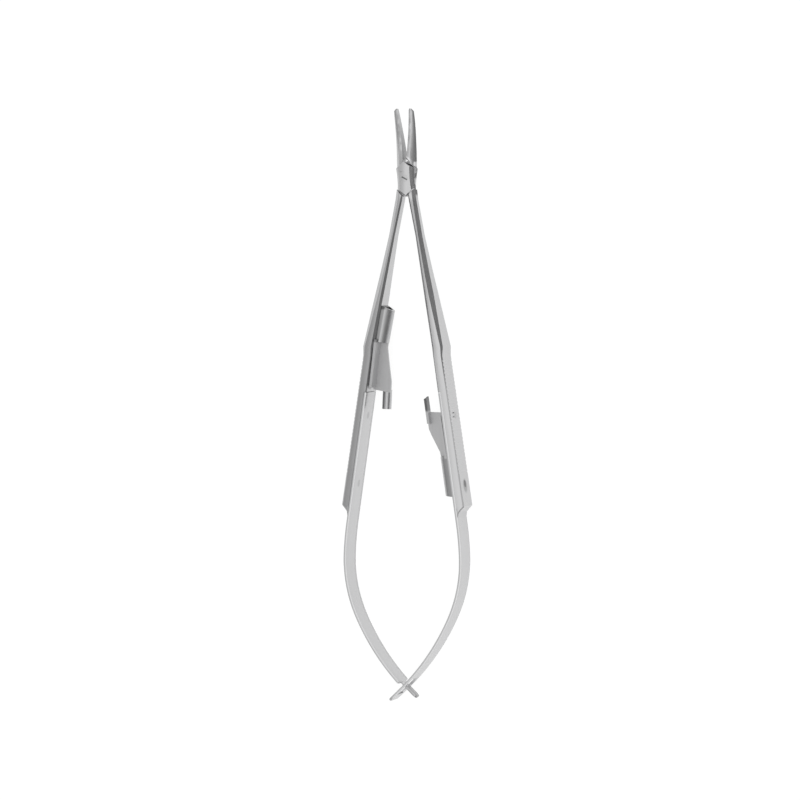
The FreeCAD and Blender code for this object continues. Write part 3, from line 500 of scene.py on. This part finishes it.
def leaf_strip(name, side, tail):
    """The middle surface of a leaf, from its front end to its tip."""
    heading = SLOPE + OPENING
    way = Vector((side * math.sin(heading), -math.cos(heading), 0))
    start = shut_to_rest(side, START_ACROSS, LEAF_START)
    bpy.ops.object.select_all(action="DESELECT")
    bpy.ops.mesh.primitive_plane_add(
        size=HALF_DEPTH * 2, location=start + way * HALF_DEPTH,
        rotation=(math.pi / 2, 0, math.atan2(way.y, way.x)))
    strip = bpy.context.object
    strip.name = name
    bpy.ops.object.transform_apply(location=True, rotation=True, scale=True)
    bpy.ops.object.mode_set(mode="EDIT")
    far = start + way * HALF_DEPTH * 2
    pick(strip, "EDGE", lambda spot: (spot - far).length < HALF_DEPTH / 10)
    bpy.ops.mesh.extrude_region_move(TRANSFORM_OT_translate={"value": way * (RUN - HALF_DEPTH * 2)})
    place = start + way * RUN
    for radius, sweep, steps in BENDS:
        inward = Vector((-side * math.cos(heading), -math.sin(heading), 0))
        centre = place + inward * radius * MM
        angle = -side * math.radians(sweep)
        bpy.ops.mesh.spin(steps=steps, angle=-angle, center=centre, axis=(0, 0, 1))
        place = centre + Matrix.Rotation(angle, 3, "Z") @ (place - centre)
        heading -= math.radians(sweep)
    way = Vector((side * math.sin(heading), -math.cos(heading), 0))
    bpy.ops.mesh.extrude_region_move(TRANSFORM_OT_translate={"value": way * tail * MM})
    return strip


def cut(point, across, clear=False):
    """Cuts the whole strip in a plane, and with clear takes away what lies beyond it."""
    bpy.ops.mesh.select_all(action="SELECT")
    bpy.ops.mesh.bisect(plane_co=point, plane_no=across, clear_outer=clear)


def off_middle(spot):
    """Height over or under the middle of the leaf, in mm."""
    return abs(spot.z - PIVOT.z) / MM


spring_right = satin("spring_strip", 0.52, 0.30, STRIP_GRAIN, STRIP_GRAIN_DEPTH, top_highlight=STRIP_TOP_HIGHLIGHT)
spring_left = satin("spring_strip_tongue", 0.52, 0.30, STRIP_GRAIN, STRIP_GRAIN_DEPTH,
                    painted_light=tongue_shade, top_highlight=STRIP_TOP_HIGHLIGHT)
# side, piece, node, bodies, finish, then in mm the straight tail, half the height of the tongue or of the
# slot, and how far the tip's corners are rounded and stand off the middle
for side, name, node, bodies, paint, tail, half, tip_round, corner in (
        (-1, "left_leaf", "left_leaf_spring", ("moving_half", "frame_half"), spring_left,
         2.8, 1.25, 0.9, 1.15),
        (1, "right_leaf", "right_leaf_spring", ("frame_half", "moving_half"), spring_right,
         3.8, 2.7, 1.4, 3.1)):
    leaf = leaf_strip(name, side, tail)
    backward = Vector((side * math.sin(OPENING), -math.cos(OPENING), 0))
    for up in (1, -1):
        level = Vector((0, 0, up))
        cut(shut_to_rest(side, 0, TAPER_FROM) + level * HALF_DEPTH,
            (level * (TAPER_TO - TAPER_FROM) + backward * TAPER_DROP).normalized(), clear=True)
    end = max(behind(side, vert.co) for vert in bmesh.from_edit_mesh(leaf.data).verts)
    for up in (1, -1):
        cut(PIVOT + Vector((0, 0, up * half * MM)), (0, 0, 1))
    if side < 0:
        cut(shut_to_rest(side, 0, end - TONGUE), backward)
        pick(leaf, "FACE", lambda spot: behind(side, spot) > end - TONGUE and off_middle(spot) > half)
    else:
        for back in (end - SLOT_FROM, end - SLOT_TO):
            cut(shut_to_rest(side, 0, back), backward)
        pick(leaf, "FACE", lambda spot: (
            -SLOT_FROM < behind(side, spot) - end < -SLOT_TO and off_middle(spot) < half))
    bpy.ops.mesh.delete(type="FACE")
    pick(leaf, "VERT", lambda spot: behind(side, spot) > end - CLOSE and off_middle(spot) > corner)
    bpy.ops.mesh.bevel(affect="VERTICES", offset=tip_round * MM, segments=CORNER_STEPS)
    if side < 0:
        pick(leaf, "VERT", lambda spot: (
            abs(behind(side, spot) - end + TONGUE) < CLOSE and off_middle(spot) > SHOULDER_OUT))
        bpy.ops.mesh.bevel(affect="VERTICES", offset=SHOULDER_ROUND, segments=CORNER_STEPS)
    bpy.ops.object.mode_set(mode="OBJECT")
    thick = leaf.modifiers.new("thick", "SOLIDIFY")
    thick.thickness = SHEET
    thick.offset = 0
    soft = leaf.modifiers.new("soft", "BEVEL")
    soft.width = EDGE_ROUND / 2
    soft.segments = BEVEL_STEPS
    soft.limit_method = "ANGLE"
    soft.angle_limit = STRIP_SHARP
    for modifier in ("thick", "soft"):
        bpy.ops.object.modifier_apply(modifier=modifier)
    bpy.ops.object.shade_smooth_by_angle(angle=SMOOTH_BELOW)
    leaf.data.materials.append(paint)
    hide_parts(node)
    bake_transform(leaf)
